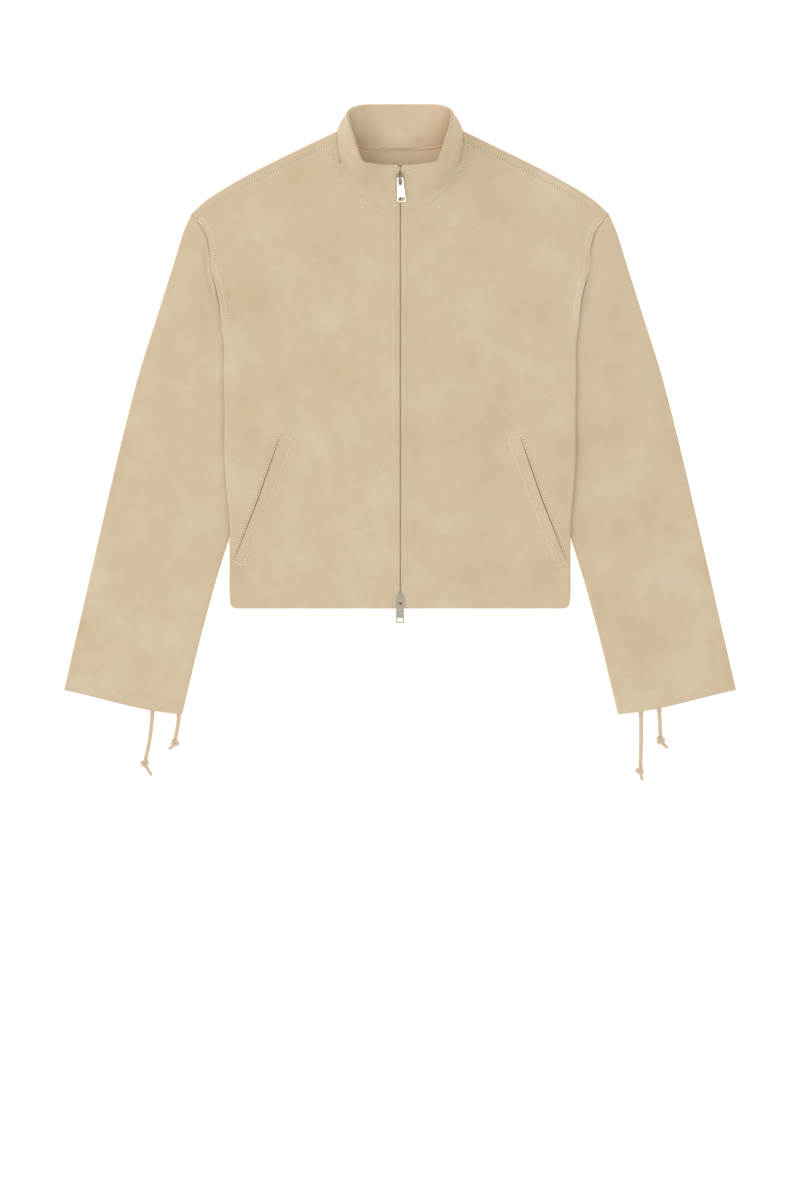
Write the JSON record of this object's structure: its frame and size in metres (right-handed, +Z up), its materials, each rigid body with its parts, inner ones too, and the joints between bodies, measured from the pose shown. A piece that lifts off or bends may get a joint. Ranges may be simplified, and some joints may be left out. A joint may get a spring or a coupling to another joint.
{
  "type": "suede zip jacket laid flat",
  "caption": "Cropped stand-collar jacket of plain suede, laid flat and zipped up, with two-way zip, slanted welt pockets and knotted cuff drawcords.",
  "frame": {"origin": "centre of the box around the jacket without its drawcords, on the surface that it lies on", "axes": "+X to the right as seen from above, +Y from hem to collar, +Z up from the surface through the cloth"},
  "size_m": [0.806, 0.8074, 0.0468],
  "materials": {
    "suede": "soft matt suede with a short nap, beige, gently mottled",
    "suede_inside": "the same suede inside the collar, a little darker",
    "zip_tape": "beige woven tape with its chain of small metal teeth",
    "bright_metal": "polished, upper slider and pull",
    "nickel": "polished nickel, lower slider and pull",
    "cord": "braided beige cord"
  },
  "bodies": {
    "jacket": {"back": "suede", "front_left": "suede", "front_right": "suede", "sleeve_left": "suede", "sleeve_right": "suede", "collar_outer": "suede", "collar_inner": "suede_inside", "back_neck_facing": "suede_inside", "welt_left": "suede", "welt_right": "suede", "zip_tape_left": "zip_tape", "zip_tape_right": "zip_tape", "slider_top": "bright_metal", "slider_bottom": "nickel", "cord_left_outer": "cord", "cord_left_inner": "cord", "cord_right_inner": "cord", "cord_right_outer": "cord", "knot_left_outer": "cord", "knot_left_inner": "cord", "knot_right_inner": "cord", "knot_right_outer": "cord"},
    "top_pull": {"pull_top": "bright_metal"},
    "bottom_pull": {"pull_bottom": "nickel"}
  },
  "joints": [
    {"name": "top_pull_swing", "type": "hinge", "parent": "jacket", "child": "top_pull", "pos_m": [0, 0.27661, 0.01998], "axis": [-1, 0, 0], "range_deg": [0, 160]},
    {"name": "bottom_pull_swing", "type": "hinge", "parent": "jacket", "child": "bottom_pull", "pos_m": [0, -0.2254, 0.0072], "axis": [-1, 0, 0], "range_deg": [0, 160]}
  ]
}
